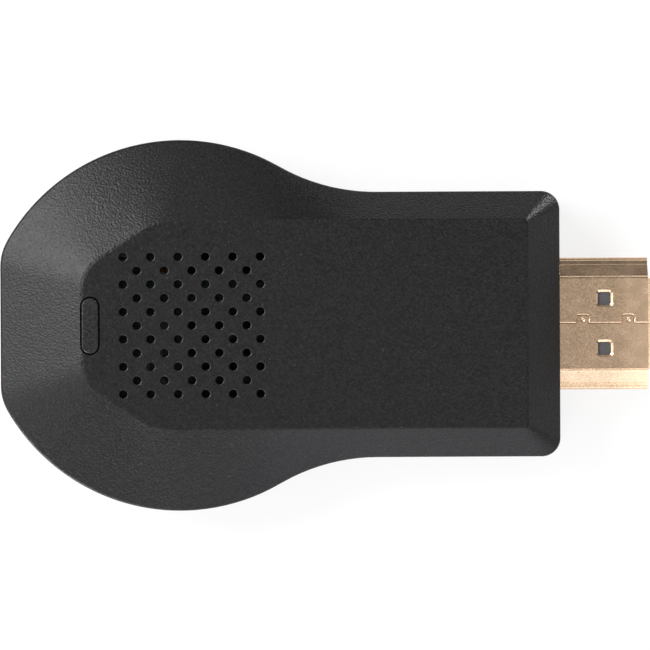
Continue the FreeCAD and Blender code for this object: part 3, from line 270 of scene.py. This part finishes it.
def moulded_black(name, lit_crest=MOULD_LIT_CREST):
    """Black plastic with the fine grain of a spark-eroded mould, painted shade in the grain's hollows and a
    painted highlight on its crests, and a few specks of dust.
    """
    finish = Finish(name, MOULD_SHADED_HOLLOW, MOULD_ROUGHNESS[0], specular=MOULD_SPECULAR)
    grain = finish.noise(MOULD_GRAIN, detail=1)
    soft = finish.noise(MOULD_CLOUD)
    # painted shade in the grain's hollows and a painted highlight on its crests, from the same noise as the
    # bump below
    finish.vary_colour(finish.ranged(grain, 0, 1, *GRAIN_RANGE), lit_crest)
    specks = finish.ranged(finish.noise(DUST_SPACING, detail=0), 0, 1, *DUST_RANGE)
    finish.vary_colour(specks, DUST_COLOUR)
    finish.vary_roughness(soft, *MOULD_ROUGHNESS)
    return finish.bump(grain, MOULD_RELIEF).material


def plated(name, colour, roughness):
    """Satin plating: a fine mottle, faint marks along the rolling, and a colour that grows lighter towards
    the tip.
    """
    finish = Finish(name, colour, roughness, metallic=1.0)
    mottle = finish.noise(MOTTLE_GRAIN, detail=1)
    marks = finish.noise(ROLLING_GRAIN, stretch=(9, 1, 1))
    finish.vary_colour(finish.ranged(mottle, 0, 1, *GRAIN_RANGE), shaded(colour, MOTTLE_SHADE))
    along = finish.tree.nodes.new("ShaderNodeSeparateXYZ")
    finish.link(finish.place, along.inputs["Vector"])
    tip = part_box("video_plug_shell")[1].x
    start, end = (tip - reach * MM for reach in TIP_LIGHTEN_REACH)
    # the colour grows lighter over the last few millimetres towards the tip
    tip_lighten = finish.ranged(along.outputs["X"], 0, TIP_LIGHTEN_SHARE, start, end)
    finish.vary_colour(tip_lighten, shaded(colour, TIP_LIGHTEN_FACTOR))
    finish.vary_roughness(finish.noise(CLOUD_GRAIN, detail=3), roughness - 0.04, roughness + 0.05)
    return finish.bump(mottle, MOTTLE_RELIEF).bump(marks, ROLLING_RELIEF).material


def plain_plastic(name, colour, roughness=0.5):
    """Moulded or fired material with a very fine, slightly lighter grain."""
    finish = Finish(name, colour, roughness)
    fine = finish.noise(PLASTIC_GRAIN, detail=3)
    finish.vary_colour(finish.ranged(fine, 0, 1), shaded(colour, 1.35, lift=0.004))
    finish.vary_roughness(finish.noise(MOULD_CLOUD), roughness - 0.06, roughness + 0.06)
    return finish.bump(fine, PLASTIC_RELIEF).material


def metal(name, colour, roughness, brushed=(1, 1, 1), grain=0.12, relief=1.0):
    """Bare or plated metal with rolling marks drawn out along one way."""
    finish = Finish(name, colour, roughness, metallic=1.0)
    marks = finish.noise(grain, detail=4, stretch=brushed)
    cloud = finish.noise(CLOUD_GRAIN, detail=3)
    finish.vary_roughness(cloud, roughness - 0.05, roughness + 0.06)
    finish.vary_colour(finish.ranged(cloud, 0, 1), shaded(colour, 0.93))
    return finish.bump(marks, relief).material


def solder_mask(name, colour, bright):
    """Lacquered board: traces show through the mask as slightly raised, lighter lines."""
    finish = Finish(name, colour, 0.28)
    wave = finish.tree.nodes.new("ShaderNodeTexWave")
    wave.bands_direction = "DIAGONAL"
    wave.inputs["Scale"].default_value = 1 / (TRACE_PITCH * MM)
    wave.inputs["Distortion"].default_value = TRACE_WANDER
    finish.link(finish.place, wave.inputs["Vector"])
    lines = finish.ranged(wave.outputs["Fac"], 0, 1, *TRACE_RANGE)
    finish.vary_colour(lines, bright)
    return finish.bump(lines, TRACE_RELIEF).material


MATERIALS = {
    "case_plastic": moulded_black,
    # the button's crest colour: a lighter plastic, with the same painted highlight on its grain's crests
    "button_plastic": lambda n: moulded_black(n, BUTTON_LIT_CREST),
    "board": lambda n: solder_mask(n, (0.004, 0.09, 0.05), (0.01, 0.17, 0.09)),
    "screw_steel": lambda n: metal(n, (0.52, 0.52, 0.54), 0.3),
    "plug_gold": lambda n: plated(n, (0.81, 0.575, 0.385), 0.24),
    "contact_gold": lambda n: metal(n, (0.95, 0.66, 0.30), 0.2, brushed=(8, 1, 1), grain=0.05, relief=0.4),
    "insulator": lambda n: plain_plastic(n, (0.068, 0.065, 0.068), 0.5),
    "socket_steel": lambda n: metal(n, (0.66, 0.65, 0.63), 0.28, brushed=(6, 1, 1), grain=0.06, relief=0.6),
    "socket_moulding": lambda n: plain_plastic(n, (0.02, 0.02, 0.02), 0.5),
    "switch_moulding": lambda n: plain_plastic(n, (0.02, 0.02, 0.022), 0.5),
    "switch_steel": lambda n: metal(n, (0.7, 0.69, 0.67), 0.25, brushed=(1, 8, 1), grain=0.05, relief=0.5),
    "plunger_plastic": lambda n: plain_plastic(n, (0.62, 0.58, 0.46), 0.45),
    "chip_epoxy": lambda n: plain_plastic(n, (0.018, 0.018, 0.02), 0.58),
    "thermal_rubber": lambda n: plain_plastic(n, (0.26, 0.32, 0.42), 0.8),
    "sink_black": lambda n: metal(n, (0.03, 0.03, 0.032), 0.5, brushed=(8, 1, 1), grain=0.08, relief=1.5),
    "radio_laminate": lambda n: solder_mask(n, (0.006, 0.03, 0.12), (0.02, 0.07, 0.22)),
    "shield_tin": lambda n: metal(n, (0.68, 0.68, 0.66), 0.3, brushed=(1, 10, 1), grain=0.08, relief=0.8),
    "crystal_steel": lambda n: metal(n, (0.30, 0.29, 0.27), 0.45, brushed=(6, 1, 1), grain=0.06, relief=0.4),
    "antenna_ceramic": lambda n: plain_plastic(n, (0.72, 0.72, 0.68), 0.4),
    "ferrite": lambda n: plain_plastic(n, (0.07, 0.07, 0.072), 0.65),
    "solder_tin": lambda n: metal(n, (0.42, 0.42, 0.43), 0.45, grain=0.2, relief=2.0),
    "capacitor_ceramic": lambda n: plain_plastic(n, (0.40, 0.25, 0.13), 0.42),
    "resistor_body": lambda n: plain_plastic(n, (0.02, 0.02, 0.022), 0.3),
    "tantalum_case": lambda n: plain_plastic(n, (0.62, 0.28, 0.05), 0.5),
    "lamp": lambda n: plain_plastic(n, (0.78, 0.78, 0.70), 0.2),
}


def finish_nodes():
    """Gives every CAD node the material of its slot in the record."""
    made = {}
    for row in frame["record"]["subparts"]:
        slot = row["material_slot"]
        if slot not in made:
            made[slot] = MATERIALS[slot](slot)
        node = frame["nodes"][row["node"]]
        node.data.materials.clear()
        node.data.materials.append(made[slot])


def spring_dome():
    """The switch's dome as a copy with a mesh of its own, hung from the casing."""
    cad_dome = frame["nodes"]["switch_dome"]
    dome = bpy.data.objects.new("switch_dome_spring", cad_dome.data.copy())
    bpy.context.collection.objects.link(dome)
    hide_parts("switch_dome")
    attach(dome, "casing")
    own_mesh(dome)


# ---------------------------------------------------------------- everything in order

bpy.context.scene.view_settings.view_transform = "Standard"
bpy.context.scene.view_settings.look = "None"
make_camera()
make_world()
make_floor()
for softbox in SOFTBOXES:
    make_softbox(*softbox)
finish_nodes()
spring_dome()
